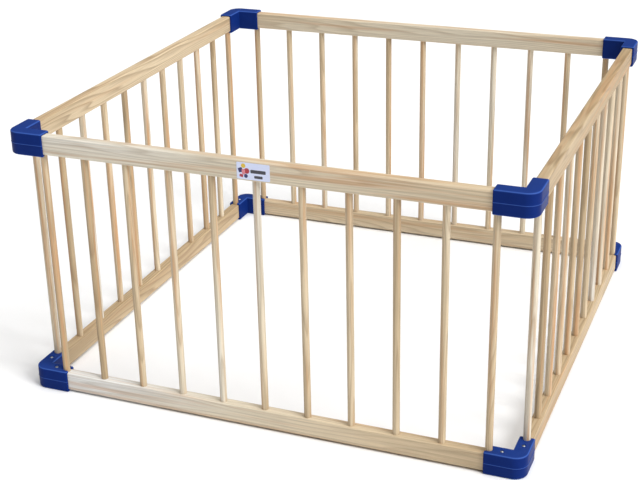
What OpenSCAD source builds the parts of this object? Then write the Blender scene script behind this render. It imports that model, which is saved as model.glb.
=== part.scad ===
// Square wooden playpen: four barred pine panels joined at the corners by moulded plastic brackets.
// Millimetres, +Z up, origin on the floor under the middle of the pen. The front is at -Y.

/* [Overall] */
// Outer side of the square, measured over the corner brackets
overall_side = 1200; // [900:10:1500]
// Height from the floor to the top of the upper brackets
overall_height = 648; // [450:1:850]

/* [Rails] */
// Height of a rail's section
rail_height = 44; // [36:1:60]
// Thickness of a rail's section, across the panel
rail_thickness = 25; // [20:0.5:35]
// Rounding of a rail's long edges
rail_edge_radius = 3; // [1:0.5:5]
// Free play between a rail's end and the stop inside the bracket
rail_end_play = 0.5; // [0.2:0.1:3]

/* [Dowels] */
// Diameter of a vertical dowel
dowel_diameter = 16; // [12:0.5:20]
// Dowels in one panel
dowels_per_panel = 11; // [5:1:11]
// From the line where two panels' middle planes meet to the first dowel's axis
end_dowel_inset = 66; // [50:1:90]
// Depth of the blind hole that a dowel is glued into
dowel_hole_depth = 18; // [10:1:28]
// Radial gap between a dowel and its hole, which the glue fills
dowel_hole_gap = 0.1; // [0.05:0.05:0.4]
// Gap below the end of a dowel or a screw in its hole
hole_end_gap = 1; // [0.5:0.5:3]
// Chamfer on a dowel's ends
dowel_chamfer = 1; // [0.5:0.5:3]

/* [Corner brackets] */
// Wall of the moulded bracket
bracket_wall = 4.5; // [3:0.5:7]
// Gap all round between a rail and its socket
socket_gap = 0.4; // [0.2:0.1:1]
// Radius of the outer vertical corner
bracket_corner_radius = 30; // [12:1:34]
// Rounding of the bracket's long edges
bracket_edge_radius = 4; // [1:0.5:5]
// How far a sleeve runs past the end dowel's axis
bracket_lip = 8; // [4:0.5:20]
// Height of the bead that runs round the outer walls
bead_height = 0.8; // [0.3:0.1:1.5]
// Gap all round the end dowel in the bracket's notch
notch_gap = 0.4; // [0.2:0.1:1.5]
// Hole in each stop wall, left by the moulding core
core_hole_diameter = 12; // [6:1:18]

/* [Screws] */
// Diameter of a screw's shank
screw_diameter = 3.5; // [3:0.5:5]
// Diameter of a screw's head
screw_head_diameter = 8; // [6:0.5:10]
// Height of a screw's head
screw_head_height = 2.4; // [1.5:0.1:3]
// Length of a screw below its head
screw_length = 20; // [12:1:26]
// Radial gap round the shank
screw_gap = 0.1; // [0.05:0.05:0.3]
// Depth of the sunk seat for a screw's head
screw_seat_depth = 1.4; // [0.5:0.1:2.5]
// Radial gap between a screw's head and its seat
screw_seat_gap = 0.8; // [0.3:0.1:1.5]
// Width of a slot of the cross recess
recess_width = 1; // [0.6:0.1:1.5]
// Length of a slot of the cross recess
recess_length = 4.6; // [3:0.1:5.5]
// Depth of the cross recess
recess_depth = 1.3; // [0.5:0.1:1.4]

/* [Label] */
// Width of the picture label on the front top rail
label_width = 75; // [40:1:120]
// From the label's edge to where the rail's edge starts to round
label_margin = 0.5; // [0:0.5:8]
// Thickness of the picture label
label_thickness = 0.4; // [0.2:0.1:1]
// Rounding of the label's corners
label_corner_radius = 2; // [1:0.5:6]

/* [Hidden] */
$fn = 64;
// Makes a cut run clear of the face it opens
cut = 1;

sides = ["front", "right", "back", "left"];
corners = ["front_left", "front_right", "back_right", "back_left"];
levels = ["bottom", "top"];

// Sleeve of a bracket round a rail
rail_cover = bracket_wall + socket_gap;
leg_half = rail_thickness / 2 + rail_cover;
bracket_height = rail_height + 2 * rail_cover;
corner_radius = min(bracket_corner_radius, 2 * leg_half);
leg_end = end_dowel_inset + bracket_lip;

// Middle plane of a panel, and the heights of its bottom rail
panel_offset = overall_side / 2 - bead_height - leg_half;
rail_bottom = rail_cover;
rail_top = rail_cover + rail_height;

// A rail ends at the stop wall, which lines up with the bracket's inner corner
rail_half_length = panel_offset - leg_half - rail_end_play;

dowel_hole_diameter = dowel_diameter + 2 * dowel_hole_gap;
dowel_foot = rail_top - dowel_hole_depth + hole_end_gap;
dowel_length = overall_height - 2 * dowel_foot;
dowel_first_x = -(panel_offset - end_dowel_inset);
dowel_pitch = -2 * dowel_first_x / (dowels_per_panel - 1);
middle_dowels = [2:dowels_per_panel - 1];

// The screw sits halfway between the bracket's inner corner and the notch
notch_diameter = dowel_diameter + 2 * notch_gap;
screw_inset = (leg_half + end_dowel_inset - notch_diameter / 2) / 2;
screw_seat_z = bracket_height - screw_seat_depth;
screw_hole_diameter = screw_diameter + 2 * screw_gap;

label_height = rail_height - 2 * (rail_edge_radius + label_margin);

pine = [0.87, 0.76, 0.60];
pine_dowel = [0.85, 0.72, 0.55];
blue_plastic = [0.10, 0.19, 0.48];
zinc = [0.75, 0.76, 0.78];
label_white = [0.95, 0.95, 0.93];

function two_digits(n) = n < 10 ? str("0", n) : str(n);
function rail_name(side, level) = str(side, "_", level, "_rail");
function bracket_name(corner, level) = str(corner, "_", level, "_bracket");
function dowel_name(side, number) = str(side, "_dowel_", two_digits(number));
function end_dowels_name(side) = str(side, "_end_dowels");
function screws_name(level) = str(level, "_bracket_screws");
function dowel_x(number) = dowel_first_x + (number - 1) * dowel_pitch;

// Puts a front panel's piece on the side or corner with that index
module on_side(index) {
    rotate([0, 0, 90 * index]) translate([0, -panel_offset, 0]) children();
}

module on_corner(index) {
    rotate([0, 0, 90 * index]) translate([-panel_offset, -panel_offset, 0]) children();
}

// A top piece is the bottom piece turned upside down
module at_level(level) {
    if (level == "bottom") children();
    if (level == "top") translate([0, 0, overall_height]) mirror([0, 0, 1]) children();
}

module rounded_rectangle(width, height, radius) {
    square([width - 2 * radius, height], center = true);
    square([width, height - 2 * radius], center = true);
    for (x = [-1, 1], y = [-1, 1])
        translate([x * (width / 2 - radius), y * (height / 2 - radius)]) circle(r = radius);
}

// Extrudes a section, drawn as across and up, along +X
module along_x(length) {
    rotate([90, 0, 90]) linear_extrude(height = length) children();
}

module rail() {
    color(pine)
    difference() {
        translate([-rail_half_length, 0, (rail_bottom + rail_top) / 2])
            along_x(2 * rail_half_length)
            rounded_rectangle(rail_thickness, rail_height, rail_edge_radius);
        for (number = [1:dowels_per_panel])
            translate([dowel_x(number), 0, rail_top - dowel_hole_depth])
            cylinder(h = dowel_hole_depth + cut, d = dowel_hole_diameter);
        for (end = [-1, 1])
            translate([end * (panel_offset - screw_inset), 0, screw_seat_z - screw_length - hole_end_gap])
            cylinder(h = rail_height, d = screw_hole_diameter);
    }
}

module dowel(number) {
    color(pine_dowel)
    translate([dowel_x(number), 0, dowel_foot]) {
        cylinder(h = dowel_chamfer, d1 = dowel_diameter - 2 * dowel_chamfer, d2 = dowel_diameter);
        translate([0, 0, dowel_chamfer])
            cylinder(h = dowel_length - 2 * dowel_chamfer, d = dowel_diameter);
        translate([0, 0, dowel_length - dowel_chamfer])
            cylinder(h = dowel_chamfer, d1 = dowel_diameter, d2 = dowel_diameter - 2 * dowel_chamfer);
    }
}

// Outer section of a leg, with its bead on the outer wall
module leg_section() {
    rounded_rectangle(2 * leg_half, bracket_height, bracket_edge_radius);
    translate([-leg_half, 0]) circle(r = bead_height);
}

// Outer half of that section, from the corner's axis to the outer wall
module corner_section() {
    round_centre = corner_radius - bracket_edge_radius;
    translate([0, -bracket_height / 2]) square([round_centre, bracket_height]);
    translate([0, -bracket_height / 2 + bracket_edge_radius])
        square([corner_radius, bracket_height - 2 * bracket_edge_radius]);
    for (y = [-1, 1])
        translate([round_centre, y * (bracket_height / 2 - bracket_edge_radius)])
        circle(r = bracket_edge_radius);
    translate([corner_radius, 0]) circle(r = bead_height);
}

// Draws its child for the leg along +X and mirrors it for the leg along +Y
module both_legs() {
    children();
    mirror([1, -1, 0]) children();
}

module bracket_body() {
    corner_axis = corner_radius - leg_half;
    both_legs()
        translate([corner_axis, 0, 0]) along_x(leg_end - corner_axis) leg_section();
    translate([corner_axis, corner_axis, 0])
        rotate([0, 0, 180]) rotate_extrude(angle = 90) corner_section();
}

// Hollow of the corner, inside the outer walls and the two stop walls
module corner_core() {
    core_half = leg_half - bracket_wall;
    core_radius = max(corner_radius - bracket_wall, cut);
    core_height = rail_height + 2 * socket_gap;
    core_axis = core_radius - core_half;
    translate([0, 0, -core_height / 2]) linear_extrude(height = core_height) {
        intersection() {
            translate([-core_half, -core_half]) square([2 * core_half, 2 * core_half]);
            union() {
                translate([core_axis, core_axis]) circle(r = core_radius);
                translate([core_axis, -core_half]) square([2 * core_half, 2 * core_half]);
                translate([-core_half, core_axis]) square([2 * core_half, 2 * core_half]);
            }
        }
    }
}

// Corner bracket: two closed sleeves at a right angle, each with a notch and a sunk screw seat
module bracket() {
    color(blue_plastic)
    translate([0, 0, bracket_height / 2])
    difference() {
        bracket_body();
        corner_core();
        both_legs() {
            translate([leg_half, 0, 0]) along_x(leg_end - leg_half + cut)
                rounded_rectangle(
                    rail_thickness + 2 * socket_gap,
                    rail_height + 2 * socket_gap,
                    rail_edge_radius + socket_gap
                );
            translate([leg_half - bracket_wall - cut, 0, 0]) rotate([0, 90, 0])
                cylinder(h = bracket_wall + 2 * cut, d = core_hole_diameter);
            translate([end_dowel_inset, 0, rail_height / 2]) {
                cylinder(h = rail_cover + cut, d = notch_diameter);
                translate([0, -notch_diameter / 2, 0])
                    cube([bracket_lip + cut, notch_diameter, rail_cover + cut]);
            }
            translate([screw_inset, 0, rail_height / 2]) {
                cylinder(h = rail_cover + cut, d = screw_hole_diameter);
                translate([0, 0, rail_cover - screw_seat_depth])
                    cylinder(h = screw_seat_depth + cut, d = screw_head_diameter + 2 * screw_seat_gap);
            }
        }
    }
}

// Pan-head screw with a cross recess, its head's underside at z = 0
module screw() {
    difference() {
        rotate_extrude() {
            square([screw_head_diameter / 2 - screw_head_height, screw_head_height]);
            intersection() {
                translate([screw_head_diameter / 2 - screw_head_height, 0]) circle(r = screw_head_height);
                square([screw_head_diameter / 2, screw_head_height]);
            }
        }
        for (turn = [0, 90])
            rotate([0, 0, turn])
            translate([-recess_length / 2, -recess_width / 2, screw_head_height - recess_depth])
            cube([recess_length, recess_width, recess_depth + cut]);
    }
    translate([0, 0, -screw_length + screw_diameter])
        cylinder(h = screw_length - screw_diameter, d = screw_diameter);
    translate([0, 0, -screw_length])
        cylinder(h = screw_diameter, d1 = screw_diameter / 4, d2 = screw_diameter);
}

module bracket_screws() {
    color(zinc)
    for (index = [0:len(corners) - 1])
        on_corner(index)
        both_legs()
        translate([screw_inset, 0, screw_seat_z]) screw();
}

// Printed label stuck on the middle of the front top rail's outer face
module picture_label() {
    color(label_white)
    on_side(0)
    translate([0, -rail_thickness / 2, overall_height - (rail_bottom + rail_top) / 2])
    rotate([90, 0, 0])
    linear_extrude(height = label_thickness)
    rounded_rectangle(label_width, label_height, label_corner_radius);
}

for (index = [0:len(sides) - 1]) {
    side = sides[index];
    for (level = levels)
        on_side(index) at_level(level) rail();
    on_side(index) for (number = [1, dowels_per_panel]) dowel(number);
    for (number = middle_dowels)
        on_side(index) dowel(number);
}

for (index = [0:len(corners) - 1], level = levels)
    on_corner(index) at_level(level) bracket();

for (level = levels)
    at_level(level) bracket_screws();

picture_label();
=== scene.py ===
import math

import bmesh
import bpy
from mathutils import Matrix, Vector


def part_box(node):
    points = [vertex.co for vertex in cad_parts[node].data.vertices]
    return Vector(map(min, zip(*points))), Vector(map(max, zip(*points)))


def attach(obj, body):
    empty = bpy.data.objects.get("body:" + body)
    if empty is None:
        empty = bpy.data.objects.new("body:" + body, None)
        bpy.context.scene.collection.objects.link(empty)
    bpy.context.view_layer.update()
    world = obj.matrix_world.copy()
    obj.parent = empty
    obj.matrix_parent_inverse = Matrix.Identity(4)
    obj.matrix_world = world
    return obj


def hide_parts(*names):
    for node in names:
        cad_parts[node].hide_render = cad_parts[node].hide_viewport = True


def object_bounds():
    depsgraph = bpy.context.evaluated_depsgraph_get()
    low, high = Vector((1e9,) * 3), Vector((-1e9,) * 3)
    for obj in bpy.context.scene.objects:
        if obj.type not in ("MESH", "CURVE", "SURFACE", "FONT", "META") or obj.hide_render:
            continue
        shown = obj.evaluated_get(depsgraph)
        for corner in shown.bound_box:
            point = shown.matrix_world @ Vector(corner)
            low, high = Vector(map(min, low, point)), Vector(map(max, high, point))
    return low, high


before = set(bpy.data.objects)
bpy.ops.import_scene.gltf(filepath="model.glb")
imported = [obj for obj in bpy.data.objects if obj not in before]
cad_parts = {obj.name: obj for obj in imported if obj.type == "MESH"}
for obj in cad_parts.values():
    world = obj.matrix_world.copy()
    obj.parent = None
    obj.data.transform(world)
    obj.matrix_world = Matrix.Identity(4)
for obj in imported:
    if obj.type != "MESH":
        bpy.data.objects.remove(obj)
cad_box = [list(corner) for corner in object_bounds()]

# Rails: eight flat bars of planed pine, one at the top and one at the bottom of each panel.
# The grain runs along the bar. Each rail is drilled for its dowels, and its ends slide into
# the corner brackets.
SIDES = ("front", "right", "back", "left")
LEVELS = ("bottom", "top")


def socket(group, name, kind, way, value=None):
    """Adds an input or output socket to a shader node group."""
    item = group.interface.new_socket(name=name, in_out=way, socket_type=kind)
    if value is not None:
        item.default_value = value
    return item


def node(tree, kind, place, settings=None, inputs=None):
    """Adds a shader node, with its settings and the values of its unlinked inputs."""
    made = tree.nodes.new(kind)
    made.location = place
    for key, value in (settings or {}).items():
        setattr(made, key, value)
    for key, value in (inputs or {}).items():
        made.inputs[key].default_value = value
    return made


def ramp(tree, place, stops):
    """Adds a colour ramp. A stop is its position and a linear colour or a grey."""
    made = tree.nodes.new("ShaderNodeValToRGB")
    made.location = place
    points = made.color_ramp.elements
    for index, (position, colour) in enumerate(stops):
        point = points[index] if index < 2 else points.new(position)
        point.position = position
        point.color = (*colour, 1.0) if isinstance(colour, tuple) else (colour, colour, colour, 1.0)
    return made


def pine_grain_group():
    """Pine figure for wood whose grain runs along the X of the Vector input, in metres."""
    group = bpy.data.node_groups.new("pine_grain", "ShaderNodeTree")
    socket(group, "Vector", "NodeSocketVector", "INPUT")
    socket(group, "Tint", "NodeSocketFloat", "INPUT", 0.5)
    socket(group, "Tint Slope", "NodeSocketFloat", "INPUT", 0.0)
    socket(group, "Tint Spread", "NodeSocketFloat", "INPUT", 1.0)
    socket(group, "Rings per Metre", "NodeSocketFloat", "INPUT", 190.0)
    socket(group, "Ring Strength", "NodeSocketFloat", "INPUT", 0.55)
    socket(group, "Heart Streaks", "NodeSocketFloat", "INPUT", 0.5)
    socket(group, "Color", "NodeSocketColor", "OUTPUT")
    socket(group, "Roughness", "NodeSocketFloat", "OUTPUT")
    socket(group, "Height", "NodeSocketFloat", "OUTPUT")
    link = group.links.new
    ends = node(group, "NodeGroupInput", (-1500, 0))
    out = node(group, "NodeGroupOutput", (1500, 0))

    # Growth rings: layers across the bar, bent by a slow wave that is long in the grain's direction
    long_wave = node(group, "ShaderNodeMapping", (-1250, 300), inputs={"Scale": (1.1, 14.0, 14.0)})
    wave = node(
        group, "ShaderNodeTexNoise", (-1050, 300),
        inputs={"Scale": 1.0, "Detail": 2.0, "Roughness": 0.45},
    )
    across = node(group, "ShaderNodeVectorMath", (-1250, 60), {"operation": "DOT_PRODUCT"})
    across.inputs[1].default_value = (0.0, 0.62, 0.78)
    ring_count = node(group, "ShaderNodeMath", (-1050, 60), {"operation": "MULTIPLY"})
    bend = node(group, "ShaderNodeMath", (-850, 300), {"operation": "MULTIPLY_ADD"})
    bend.inputs[1].default_value = 15.0
    layer = node(group, "ShaderNodeMath", (-650, 200), {"operation": "FRACT"})
    late = ramp(group, (-450, 200), ((0.0, 0.0), (0.45, 0.12), (0.86, 1.0), (1.0, 0.0)))
    link(ends.outputs["Vector"], long_wave.inputs["Vector"])
    link(long_wave.outputs[0], wave.inputs["Vector"])
    link(ends.outputs["Vector"], across.inputs[0])
    link(across.outputs["Value"], ring_count.inputs[0])
    link(ends.outputs["Rings per Metre"], ring_count.inputs[1])
    link(wave.outputs[0], bend.inputs[0])
    link(ring_count.outputs[0], bend.inputs[2])
    link(bend.outputs[0], layer.inputs[0])
    link(layer.outputs[0], late.inputs["Fac"])

    # Fibres: short hair-fine dashes along the grain
    fine = node(group, "ShaderNodeMapping", (-1250, -200), inputs={"Scale": (9.0, 620.0, 620.0)})
    fibre = node(
        group, "ShaderNodeTexNoise", (-1050, -200),
        inputs={"Scale": 1.0, "Detail": 3.0, "Roughness": 0.6},
    )
    link(ends.outputs["Vector"], fine.inputs["Vector"])
    link(fine.outputs[0], fibre.inputs["Vector"])

    # Tint: sticks cut from other boards differ, from greyish white at 0 through cream to tan at 1,
    # and a stick can turn from sapwood to heartwood along its length; a steep slope paints a shaded end
    # paler
    board = node(group, "ShaderNodeMapping", (-1250, -450), inputs={"Scale": (0.9, 9.0, 9.0)})
    drift = node(
        group, "ShaderNodeTexNoise", (-1050, -450),
        inputs={"Scale": 1.0, "Detail": 1.0, "Roughness": 0.3},
    )
    centred = node(group, "ShaderNodeMath", (-850, -450), {"operation": "SUBTRACT"})
    centred.inputs[1].default_value = 0.5
    tint = node(group, "ShaderNodeMath", (-700, -450), {"operation": "MULTIPLY_ADD"})
    early = ramp(
        group, (-500, -450),
        (
            (0.0, (0.80, 0.79, 0.76)), (0.3, (0.77, 0.69, 0.54)),
            (0.6, (0.71, 0.57, 0.38)), (1.0, (0.47, 0.34, 0.19)),
        ),
    )
    dark = ramp(
        group, (-500, -700),
        ((0.0, (0.46, 0.40, 0.32)), (0.4, (0.46, 0.35, 0.22)), (1.0, (0.30, 0.19, 0.09))),
    )
    link(ends.outputs["Vector"], board.inputs["Vector"])
    link(board.outputs[0], drift.inputs["Vector"])
    link(drift.outputs[0], centred.inputs[0])
    link(centred.outputs[0], tint.inputs[0])
    link(ends.outputs["Tint Spread"], tint.inputs[1])
    lengthways = node(group, "ShaderNodeSeparateXYZ", (-1250, -600))
    sloped = node(group, "ShaderNodeMath", (-1000, -600), {"operation": "MULTIPLY_ADD"})
    link(ends.outputs["Vector"], lengthways.inputs[0])
    link(lengthways.outputs["X"], sloped.inputs[0])
    link(ends.outputs["Tint Slope"], sloped.inputs[1])
    link(ends.outputs["Tint"], sloped.inputs[2])
    link(sloped.outputs[0], tint.inputs[2])
    link(tint.outputs[0], early.inputs["Fac"])
    link(tint.outputs[0], dark.inputs["Fac"])

    # Heartwood: broad orange-brown streaks with soft ends
    heart_map = node(group, "ShaderNodeMapping", (-1250, -950), inputs={"Scale": (2.0, 85.0, 85.0)})
    heart = node(
        group, "ShaderNodeTexNoise", (-1050, -950),
        inputs={"Scale": 1.0, "Detail": 4.0, "Roughness": 0.55},
    )
    heart_mask = ramp(group, (-650, -950), ((0.50, 0.0), (0.66, 1.0)))
    heart_amount = node(group, "ShaderNodeMath", (-350, -950), {"operation": "MULTIPLY"})
    link(ends.outputs["Vector"], heart_map.inputs["Vector"])
    link(heart_map.outputs[0], heart.inputs["Vector"])
    link(heart.outputs[0], heart_mask.inputs["Fac"])
    link(heart_mask.outputs["Color"], heart_amount.inputs[0])
    link(ends.outputs["Heart Streaks"], heart_amount.inputs[1])

    ring_amount = node(group, "ShaderNodeMath", (-150, 200), {"operation": "MULTIPLY"})
    link(late.outputs["Color"], ring_amount.inputs[0])
    link(ends.outputs["Ring Strength"], ring_amount.inputs[1])
    ringed = node(group, "ShaderNodeMix", (100, 0), {"data_type": "RGBA"})
    link(ring_amount.outputs[0], ringed.inputs["Factor"])
    link(early.outputs["Color"], ringed.inputs["A"])
    link(dark.outputs["Color"], ringed.inputs["B"])
    hearted = node(group, "ShaderNodeMix", (350, 0), {"data_type": "RGBA"})
    hearted.inputs["B"].default_value = (0.58, 0.33, 0.16, 1.0)
    link(heart_amount.outputs[0], hearted.inputs["Factor"])
    link(ringed.outputs["Result"], hearted.inputs["A"])
    fibre_tone = ramp(group, (350, -300), ((0.32, 0.74), (0.60, 1.0)))
    fibred = node(group, "ShaderNodeMix", (650, 0), {"data_type": "RGBA", "blend_type": "MULTIPLY"})
    fibred.inputs["Factor"].default_value = 0.85
    link(fibre.outputs[0], fibre_tone.inputs["Fac"])
    link(hearted.outputs["Result"], fibred.inputs["A"])
    link(fibre_tone.outputs["Color"], fibred.inputs["B"])
    link(fibred.outputs["Result"], out.inputs["Color"])

    # Latewood is harder and smoother, and stands up where the soft wood was sanded away
    gloss = node(group, "ShaderNodeMapRange", (650, -300), inputs={"To Min": 0.62, "To Max": 0.48})
    link(ring_amount.outputs[0], gloss.inputs["Value"])
    link(gloss.outputs[0], out.inputs["Roughness"])
    height = node(group, "ShaderNodeMath", (650, -600), {"operation": "MULTIPLY_ADD"})
    height.inputs[1].default_value = 0.6
    link(fibre.outputs[0], height.inputs[0])
    link(ring_amount.outputs[0], height.inputs[2])
    link(height.outputs[0], out.inputs["Height"])
    return group


PINE_GRAIN = pine_grain_group()


def pine(name, turn, tint, slope, spread, rings, ring_strength, heart_streaks):
    """Bare sanded pine. Turn lays the piece's grain along X, and slope is the tint's rise per metre."""
    material = bpy.data.materials.new(name)
    material.use_nodes = True
    tree = material.node_tree
    link = tree.links.new
    shader = tree.nodes["Principled BSDF"]
    shader.inputs["Specular IOR Level"].default_value = 0.6
    place = node(tree, "ShaderNodeTexCoord", (-1000, 0))
    lay = node(tree, "ShaderNodeMapping", (-800, 0), inputs={"Rotation": turn})
    grain = node(tree, "ShaderNodeGroup", (-550, 0), {"node_tree": PINE_GRAIN})
    grain.inputs["Tint"].default_value = tint
    grain.inputs["Tint Slope"].default_value = slope
    grain.inputs["Tint Spread"].default_value = spread
    grain.inputs["Rings per Metre"].default_value = rings
    grain.inputs["Ring Strength"].default_value = ring_strength
    grain.inputs["Heart Streaks"].default_value = heart_streaks
    relief = node(tree, "ShaderNodeBump", (-250, -250), inputs={"Strength": 0.35, "Distance": 0.0003})
    link(place.outputs["Object"], lay.inputs["Vector"])
    link(lay.outputs[0], grain.inputs["Vector"])
    link(grain.outputs["Color"], shader.inputs["Base Color"])
    link(grain.outputs["Roughness"], shader.inputs["Roughness"])
    link(grain.outputs["Height"], relief.inputs["Height"])
    link(relief.outputs[0], shader.inputs["Normal"])
    return material


QUARTER = math.pi / 2
ALONG_X = (0.0, 0.0, 0.0)
ALONG_Y = (0.0, 0.0, -QUARTER)
rail_pine = {
    "front_top": pine("pine_front_top_rail", ALONG_X, 0.36, 0.25, 1.0, 135.0, 0.50, 0.70),
    # The front bottom rail's steep tint slope paints its left end greyish white, which also offsets the
    # shade that falls there
    "front_bottom": pine("pine_front_bottom_rail", ALONG_X, 0.40, 1.00, 0.5, 135.0, 0.40, 0.45),
    "right": pine("pine_right_rails", ALONG_Y, 0.92, 0.0, 0.9, 115.0, 0.75, 0.6),
    "back": pine("pine_back_rails", ALONG_X, 0.54, 0.0, 1.0, 130.0, 0.55, 0.6),
    "left": pine("pine_left_rails", ALONG_Y, 0.84, 0.0, 0.9, 120.0, 0.85, 0.25),
}

for side in SIDES:
    for level in LEVELS:
        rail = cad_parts[f"{side}_{level}_rail"]
        rail.data.materials.clear()
        rail.data.materials.append(rail_pine.get(f"{side}_{level}") or rail_pine[side])

# Dowels: eleven round pine bars in each panel, turned and sanded, glued upright into blind
# holes in both rails. They come from mixed boards, so their tint differs from bar to bar.
dowel_pine = pine("pine_dowel", (0.0, QUARTER, 0.0), 0.62, 0.0, 2.3, 190.0, 0.65, 0.95)

for name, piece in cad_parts.items():
    if "dowel" in name:
        piece.data.materials.clear()
        piece.data.materials.append(dowel_pine)

# Corner brackets: one blue plastic moulding used eight times, upside down at the top. A closed
# sleeve slides over each of two rails, with a bead round the outside, and a notch for the end
# dowel and a sunk seat for the screw in the side that faces the dowels.
CORNERS = ("front_left", "front_right", "back_right", "back_left")
BEAD_HEIGHT = 0.0008
BEAD_REACH = 0.0013
EDGE_RADIUS = 0.0040
CORNER_RADIUS = 0.030
RIM_RADIUS = 0.0028
SOCKET_GAP = 0.0004
MOUTH_CHAMFER = 0.0007
NOTCH_GAP = 0.0004
SEAT_DEPTH = 0.0014
SEAT_GAP = 0.0008
SCREW_HEAD_RADIUS = 0.004
CUT_CLEARANCE = 0.004
CUT_OVERLAP = 0.001
EASED_WIDTH = 0.0003
MERGE_DISTANCE = 1e-6
EDGE_STEPS = 6
CORNER_STEPS = 20
RIM_STEPS = 4
BEAD_STEPS = 8
NOTCH_STEPS = 32
SEAT_STEPS = 40
# Painted highlights: a paler blue mixed into the colour on the bead, round the rounded edges and over
# the flat faces
BEAD_HIGHLIGHT_PAINT = 0.5
EDGE_HIGHLIGHT_PAINT = 0.55
FACE_HIGHLIGHT_PAINT = 0.12

bracket_low, bracket_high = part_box("front_left_bottom_bracket")
rail_low, rail_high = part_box("front_bottom_rail")
dowel_low, dowel_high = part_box("front_end_dowels")
panel_line = (rail_low.y + rail_high.y) / 2
leg_half = panel_line - bracket_low.y - BEAD_HEIGHT
leg_end = bracket_high.x - panel_line
half_height = (bracket_high.z - bracket_low.z) / 2
socket_half = (rail_high.y - rail_low.y) / 2 + SOCKET_GAP
socket_half_height = (rail_high.z - rail_low.z) / 2 + SOCKET_GAP
dowel_radius = (dowel_high.y - dowel_low.y) / 2
notch_radius = dowel_radius + NOTCH_GAP
notch_inset = dowel_low.x + dowel_radius - panel_line
screw_inset = (leg_half + notch_inset - notch_radius) / 2


def sleeve_section(half_width, half_tall, radius, bead):
    """Points round a sleeve's section as (across, up), the outer wall at negative across."""
    points = []
    for turn in range(4):
        across = half_width - radius if turn in (0, 3) else radius - half_width
        up = half_tall - radius if turn in (0, 1) else radius - half_tall
        for step in range(EDGE_STEPS + 1):
            angle = QUARTER * (turn + step / EDGE_STEPS)
            points.append((across + radius * math.cos(angle), up + radius * math.sin(angle)))
        if turn == 1:
            for step in range(-BEAD_STEPS, BEAD_STEPS + 1):
                rise = -step / BEAD_STEPS
                swell = bead * (1 + math.cos(math.pi * rise)) / 2
                points.append((-half_width - swell, BEAD_REACH * rise))
    return points


def bracket_mesh():
    """The moulding at a corner whose legs run along +X and +Y from where the rails' lines meet."""
    mesh = bmesh.new()
    axis = CORNER_RADIUS - leg_half

    def on_leg(station, swap):
        def place(across, up):
            along = max(station, across)
            point = (along, across) if not swap else (across, along)
            return (*point, up)
        return place

    def on_corner(angle):
        def place(across, up):
            depth = across + leg_half
            if depth > CORNER_RADIUS:
                return (across, across, up)
            reach = CORNER_RADIUS - depth
            return (axis + reach * math.cos(angle), axis + reach * math.sin(angle), up)
        return place

    def ring(points, place):
        return [mesh.verts.new(place(*point)) for point in points]

    def leg_rings(swap):
        """Rings from a leg's stop wall, out of its mouth and back along the outside to the corner."""
        rings = []
        for station, grow in ((leg_half, 0.0), (leg_end - MOUTH_CHAMFER, 0.0), (leg_end, MOUTH_CHAMFER)):
            points = sleeve_section(
                socket_half + grow, socket_half_height + grow, EDGE_RADIUS + grow, 0.0
            )
            rings.append(ring(points, on_leg(station, swap)))
        for step in range(RIM_STEPS, -1, -1):
            angle = QUARTER * step / RIM_STEPS
            inset = RIM_RADIUS * (1 - math.cos(angle))
            points = sleeve_section(
                leg_half - inset, half_height - inset, EDGE_RADIUS - inset,
                BEAD_HEIGHT * (1 - inset / RIM_RADIUS),
            )
            rings.append(ring(points, on_leg(leg_end - RIM_RADIUS + RIM_RADIUS * math.sin(angle), swap)))
        return rings

    outer = sleeve_section(leg_half, half_height, EDGE_RADIUS, BEAD_HEIGHT)
    rings = leg_rings(False)
    rings.append(ring(outer, on_leg(axis, False)))
    for step in range(1, CORNER_STEPS):
        rings.append(ring(outer, on_corner(3 * QUARTER - QUARTER * step / CORNER_STEPS)))
    rings.append(ring(outer, on_leg(axis, True)))
    rings += reversed(leg_rings(True))
    for near, far in zip(rings, rings[1:]):
        for index in range(len(near)):
            after = (index + 1) % len(near)
            mesh.faces.new((near[index], near[after], far[after], far[index]))
    mesh.faces.new(rings[0])
    mesh.faces.new(rings[-1])
    bmesh.ops.remove_doubles(mesh, verts=mesh.verts, dist=MERGE_DISTANCE)
    bmesh.ops.dissolve_degenerate(mesh, edges=mesh.edges, dist=MERGE_DISTANCE)
    bmesh.ops.recalc_face_normals(mesh, faces=mesh.faces)
    made = bpy.data.meshes.new("corner_bracket")
    mesh.to_mesh(made)
    mesh.free()
    return made


def prism(mesh, outline, bottom, top):
    """Adds a closed prism over an outline of (x, y) points."""
    low = [mesh.verts.new((x, y, bottom)) for x, y in outline]
    high = [mesh.verts.new((x, y, top)) for x, y in outline]
    faces = [mesh.faces.new(low[::-1]), mesh.faces.new(high)]
    for index in range(len(outline)):
        after = (index + 1) % len(outline)
        faces.append(mesh.faces.new((low[index], low[after], high[after], high[index])))
    return faces


def bracket_cuts():
    """Everything cut from the dowel side: the dowel notches and the screw seats."""
    mesh = bmesh.new()
    seat_radius = SCREW_HEAD_RADIUS + SEAT_GAP
    cut_top = half_height + CUT_CLEARANCE
    for swap in (False, True):
        notch = [(leg_end + CUT_CLEARANCE, -notch_radius)]
        for step in range(NOTCH_STEPS + 1):
            angle = -QUARTER - math.pi * step / NOTCH_STEPS
            notch.append((notch_inset + notch_radius * math.cos(angle), notch_radius * math.sin(angle)))
        notch.append((leg_end + CUT_CLEARANCE, notch_radius))
        seat = []
        for step in range(SEAT_STEPS):
            angle = math.tau * step / SEAT_STEPS
            seat.append((screw_inset + seat_radius * math.cos(angle), seat_radius * math.sin(angle)))
        if swap:
            notch = [(y, x) for x, y in notch]
            seat = [(y, x) for x, y in seat]
        prism(mesh, notch, socket_half_height - CUT_OVERLAP, cut_top)
        prism(mesh, seat, half_height - SEAT_DEPTH, cut_top)
    bmesh.ops.recalc_face_normals(mesh, faces=mesh.faces)
    made = bpy.data.meshes.new("bracket_cuts")
    mesh.to_mesh(made)
    mesh.free()
    return made


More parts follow.
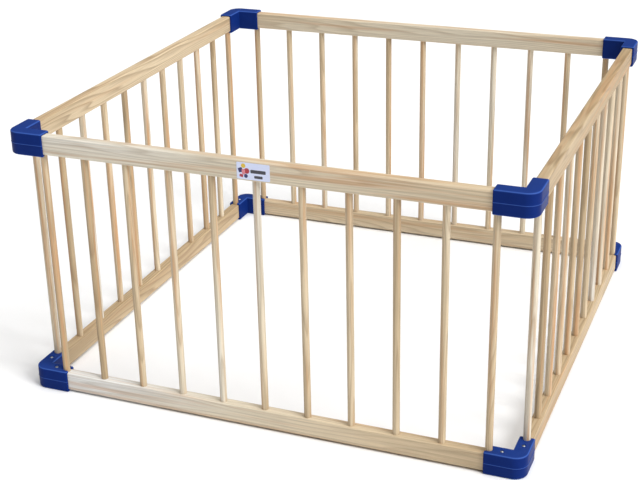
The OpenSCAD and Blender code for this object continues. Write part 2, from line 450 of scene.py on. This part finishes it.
def painted_highlight_level(rise):
    """How much paler blue is painted on as highlight, at a height above or below the bead: most on the
    edges.
    """
    if rise < BEAD_REACH:
        return BEAD_HIGHLIGHT_PAINT / 2 * (1 + math.cos(math.pi * rise / BEAD_REACH))
    bend = min(1.0, (rise - half_height + EDGE_RADIUS) / EDGE_RADIUS)
    if bend <= 0:
        return 0.0
    return EDGE_HIGHLIGHT_PAINT * math.sin(2 * math.asin(bend)) ** 4 + FACE_HIGHLIGHT_PAINT * bend ** 2


def finished_bracket():
    """The moulding with its notches and seats cut, their edges eased, and its painted highlights marked.
    """
    body = bpy.data.objects.new("bracket_pattern", bracket_mesh())
    cutter = bpy.data.objects.new("bracket_cutter", bracket_cuts())
    for piece in (body, cutter):
        bpy.context.scene.collection.objects.link(piece)
    cut = body.modifiers.new("notches_and_seats", "BOOLEAN")
    cut.object = cutter
    cut.operation = "DIFFERENCE"
    cut.solver = "EXACT"
    ease = body.modifiers.new("eased_edges", "BEVEL")
    ease.limit_method = "ANGLE"
    ease.angle_limit = math.radians(50)
    ease.width = EASED_WIDTH
    ease.segments = 2
    ease.use_clamp_overlap = False
    bpy.context.view_layer.update()
    shape = body.evaluated_get(bpy.context.evaluated_depsgraph_get())
    made = bpy.data.meshes.new_from_object(shape)
    # Marks where the paler blue of the painted highlights goes: the bead, the rounded edges and the flat
    # faces
    highlight_paint = made.attributes.new("highlight_paint", "FLOAT", "POINT")
    for point, value in zip(made.vertices, highlight_paint.data):
        value.value = painted_highlight_level(abs(point.co.z))
    for piece in (body, cutter):
        bpy.data.objects.remove(piece)
    return made


def moulded_plastic(name, colour, highlight_colour):
    """Satin moulded plastic: faint mottle, a fine spark-eroded skin, and a paler blue painted on as
    highlights.
    """
    material = bpy.data.materials.new(name)
    material.use_nodes = True
    tree = material.node_tree
    link = tree.links.new
    shader = tree.nodes["Principled BSDF"]
    shader.inputs["IOR"].default_value = 1.49
    shader.inputs["Specular IOR Level"].default_value = 0.04
    place = node(tree, "ShaderNodeTexCoord", (-1000, 0))
    mottle = node(tree, "ShaderNodeTexNoise", (-750, 200), inputs={"Scale": 38.0, "Detail": 4.0})
    skin = node(tree, "ShaderNodeTexNoise", (-750, -200), inputs={"Scale": 1400.0, "Detail": 2.0})
    tone = node(tree, "ShaderNodeMix", (-400, 200), {"data_type": "RGBA"})
    tone.inputs["A"].default_value = (*(0.86 * channel for channel in colour), 1.0)
    tone.inputs["B"].default_value = (*(1.14 * channel for channel in colour), 1.0)
    gloss = node(tree, "ShaderNodeMapRange", (-400, 0), inputs={"To Min": 0.34, "To Max": 0.46})
    relief = node(tree, "ShaderNodeBump", (-400, -250), inputs={"Strength": 0.25, "Distance": 0.0001})
    # Mixes in the paler blue of the painted highlights
    highlight_paint = node(tree, "ShaderNodeAttribute", (-400, 500), {"attribute_name": "highlight_paint"})
    highlighted = node(tree, "ShaderNodeMix", (-200, 300), {"data_type": "RGBA"})
    highlighted.inputs["B"].default_value = (*highlight_colour, 1.0)
    link(highlight_paint.outputs["Fac"], highlighted.inputs["Factor"])
    link(tone.outputs["Result"], highlighted.inputs["A"])
    link(place.outputs["Object"], mottle.inputs["Vector"])
    link(place.outputs["Object"], skin.inputs["Vector"])
    link(mottle.outputs[0], tone.inputs["Factor"])
    link(mottle.outputs[0], gloss.inputs["Value"])
    link(skin.outputs[0], relief.inputs["Height"])
    link(highlighted.outputs["Result"], shader.inputs["Base Color"])
    link(gloss.outputs[0], shader.inputs["Roughness"])
    link(relief.outputs[0], shader.inputs["Normal"])
    return material


# The second blue is the paler blue of the painted highlights
blue_plastic = moulded_plastic("blue_plastic", (0.005, 0.022, 0.152), (0.070, 0.160, 0.540))
pattern = finished_bracket()
pen_height = cad_box[1][2]

for index, corner in enumerate(CORNERS):
    for level in LEVELS:
        shape = pattern.copy()
        lift = Matrix.Translation((panel_line, panel_line, half_height))
        if level == "top":
            lift = Matrix.Translation((0, 0, pen_height)) @ Matrix.Scale(-1, 4, (0, 0, 1)) @ lift
        shape.transform(Matrix.Rotation(index * QUARTER, 4, "Z") @ lift)
        if level == "top":
            shape.flip_normals()
        shape.shade_smooth()
        shape.set_sharp_from_angle(angle=math.radians(38))
        shape.materials.append(blue_plastic)
        bracket = bpy.data.objects.new(f"{corner}_{level}_moulding", shape)
        bpy.context.scene.collection.objects.link(bracket)
        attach(bracket, "root")
        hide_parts(f"{corner}_{level}_bracket")

# Bracket screws: sixteen small zinc-plated pan-head screws with a cross recess, one in each
# sleeve, sunk in its seat and driven through the wall into the rail.


def clouded(name, light, dark, speckle, detail, glossiest, roughest):
    """A surface clouded between two tones, with gloss that follows the clouds."""
    material = bpy.data.materials.new(name)
    material.use_nodes = True
    tree = material.node_tree
    link = tree.links.new
    shader = tree.nodes["Principled BSDF"]
    place = node(tree, "ShaderNodeTexCoord", (-900, 0))
    cloud = node(tree, "ShaderNodeTexNoise", (-700, 0), inputs={"Scale": speckle, "Detail": detail})
    tone = ramp(tree, (-400, 150), ((0.3, dark), (0.7, light)))
    gloss = node(
        tree, "ShaderNodeMapRange", (-400, -100),
        inputs={"To Min": glossiest, "To Max": roughest},
    )
    link(place.outputs["Object"], cloud.inputs["Vector"])
    link(cloud.outputs[0], tone.inputs["Fac"])
    link(cloud.outputs[0], gloss.inputs["Value"])
    link(tone.outputs["Color"], shader.inputs["Base Color"])
    link(gloss.outputs[0], shader.inputs["Roughness"])
    return material


zinc = clouded("zinc_screw", (0.48, 0.50, 0.54), (0.34, 0.36, 0.40), 520.0, 3.0, 0.22, 0.38)
zinc.node_tree.nodes["Principled BSDF"].inputs["Metallic"].default_value = 1.0

for level in LEVELS:
    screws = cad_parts[f"{level}_bracket_screws"]
    screws.data.materials.clear()
    screws.data.materials.append(zinc)

# Picture label: a white printed film stuck on the middle of the front top rail. Its print is a
# plain picture of coloured shapes beside two grey bars, a film of ink that stands a hair proud.
INK_THICKNESS = 0.00005
DISC_STEPS = 36
BAR_CORNER_STEPS = 6


def round_outline(centre_x, centre_y, radius):
    """Points round a disc."""
    turns = [math.tau * step / DISC_STEPS for step in range(DISC_STEPS)]
    return [(centre_x + radius * math.cos(turn), centre_y + radius * math.sin(turn)) for turn in turns]


def bar_outline(centre_x, centre_y, width, height, radius, tilt=0.0):
    """Points round a tilted rectangle with rounded corners."""
    points = []
    for turn in range(4):
        side_x = 1 if turn in (0, 3) else -1
        side_y = 1 if turn in (0, 1) else -1
        for step in range(BAR_CORNER_STEPS + 1):
            angle = QUARTER * (turn + step / BAR_CORNER_STEPS)
            x = side_x * (width / 2 - radius) + radius * math.cos(angle)
            y = side_y * (height / 2 - radius) + radius * math.sin(angle)
            points.append((
                centre_x + x * math.cos(tilt) - y * math.sin(tilt),
                centre_y + x * math.sin(tilt) + y * math.cos(tilt),
            ))
    return points


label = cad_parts["picture_label"]
label.data.materials.clear()
label_film = clouded("label_film", (0.72, 0.78, 1.0), (0.68, 0.74, 0.98), 60.0, 2.0, 0.30, 0.42)
label.data.materials.append(label_film)

INK_TONES = (
    ("yellow_ink", (0.78, 0.56, 0.06), (0.70, 0.46, 0.04)),
    ("red_ink", (0.46, 0.035, 0.05), (0.38, 0.025, 0.04)),
    ("pink_ink", (0.76, 0.26, 0.30), (0.68, 0.21, 0.26)),
    ("navy_ink", (0.035, 0.035, 0.15), (0.025, 0.025, 0.11)),
    ("grey_ink", (0.06, 0.06, 0.08), (0.045, 0.045, 0.06)),
)
inks = [clouded(name, light, dark, 700.0, 2.0, 0.34, 0.46) for name, light, dark in INK_TONES]
YELLOW, RED, PINK, NAVY, GREY = range(len(inks))
print_shapes = (
    (YELLOW, round_outline(-0.0220, 0.0112, 0.0050)),
    (NAVY, bar_outline(-0.0288, 0.0014, 0.0100, 0.0102, 0.0018, 0.35)),
    (RED, round_outline(-0.0146, 0.0004, 0.0062)),
    (PINK, bar_outline(-0.0220, -0.0020, 0.0074, 0.0120, 0.0030)),
    (RED, bar_outline(-0.0270, -0.0108, 0.0082, 0.0064, 0.0014, -0.2)),
    (NAVY, round_outline(-0.0166, -0.0106, 0.0043)),
    (GREY, bar_outline(0.0112, 0.0004, 0.0345, 0.0074, 0.0016)),
    (GREY, bar_outline(0.0116, -0.0112, 0.0190, 0.0060, 0.0016)),
)
print_mesh = bmesh.new()
for layer, (ink, outline) in enumerate(print_shapes):
    for face in prism(print_mesh, outline, 0.0, INK_THICKNESS * (1 + layer / 4)):
        face.material_index = ink
bmesh.ops.recalc_face_normals(print_mesh, faces=print_mesh.faces)
print_shape = bpy.data.meshes.new("label_print")
print_mesh.to_mesh(print_shape)
print_mesh.free()
label_low, label_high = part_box("picture_label")
label_face = Matrix.Translation((0.0, label_low.y, (label_low.z + label_high.z) / 2))
print_shape.transform(label_face @ Matrix.Rotation(QUARTER, 4, "X"))
for ink in inks:
    print_shape.materials.append(ink)
label_print = bpy.data.objects.new("label_print", print_shape)
bpy.context.scene.collection.objects.link(label_print)
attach(label_print, "root")

# Stage: a plain pale floor and a white backdrop under soft studio light. The key light stands
# on the pen's right, and a broader one hangs overhead.
FLOOR_HALF_SIDE = 16.0
FILL_STRENGTH = 0.14
floor_mesh = bmesh.new()
bmesh.ops.create_grid(floor_mesh, x_segments=1, y_segments=1, size=FLOOR_HALF_SIDE)
floor_shape = bpy.data.meshes.new("floor")
floor_mesh.to_mesh(floor_shape)
floor_mesh.free()
floor = bpy.data.objects.new("floor", floor_shape)
bpy.context.scene.collection.objects.link(floor)
floor_paint = bpy.data.materials.new("floor_paint")
floor_paint.use_nodes = True
floor_shader = floor_paint.node_tree.nodes["Principled BSDF"]
floor_shader.inputs["Base Color"].default_value = (0.88, 0.88, 0.88, 1.0)
floor_shader.inputs["Roughness"].default_value = 0.8
floor_shape.materials.append(floor_paint)

world = bpy.data.worlds.new("studio")
world.use_nodes = True
backdrop = world.node_tree.nodes["Background"]
backdrop.inputs["Color"].default_value = (1.0, 1.0, 1.0, 1.0)
# The far backdrop looks as white as the floor, and still gives only a dim fill light
seen = node(world.node_tree, "ShaderNodeLightPath", (-600, 0))
brightness = node(
    world.node_tree, "ShaderNodeMapRange", (-300, 0),
    inputs={"To Min": FILL_STRENGTH, "To Max": 1.0},
)
world.node_tree.links.new(seen.outputs["Is Camera Ray"], brightness.inputs["Value"])
world.node_tree.links.new(brightness.outputs[0], backdrop.inputs["Strength"])
bpy.context.scene.world = world
bpy.context.scene.view_settings.view_transform = "Standard"


def studio_light(name, direction, strength, softness):
    """A far light. Direction points from the pen to it, and softness is its width in degrees."""
    lamp = bpy.data.lights.new(name, "SUN")
    lamp.energy = strength
    lamp.angle = math.radians(softness)
    made = bpy.data.objects.new(name, lamp)
    made.rotation_euler = Vector(direction).to_track_quat("Z", "Y").to_euler()
    bpy.context.scene.collection.objects.link(made)


studio_light("key_light", (0.80, -0.22, 0.62), 2.7, 30.0)
studio_light("top_light", (0.10, 0.00, 1.0), 2.1, 50.0)

camera_data = bpy.data.cameras.new("camera")
camera_data.lens = 73.75
camera_data.sensor_width = 36.0
camera = bpy.data.objects.new("camera", camera_data)
camera.location = (1.0758, -2.9013, 1.5738)
camera.rotation_euler = (1.1592, 0.0187, 0.3750)
bpy.context.scene.collection.objects.link(camera)
bpy.context.scene.camera = camera
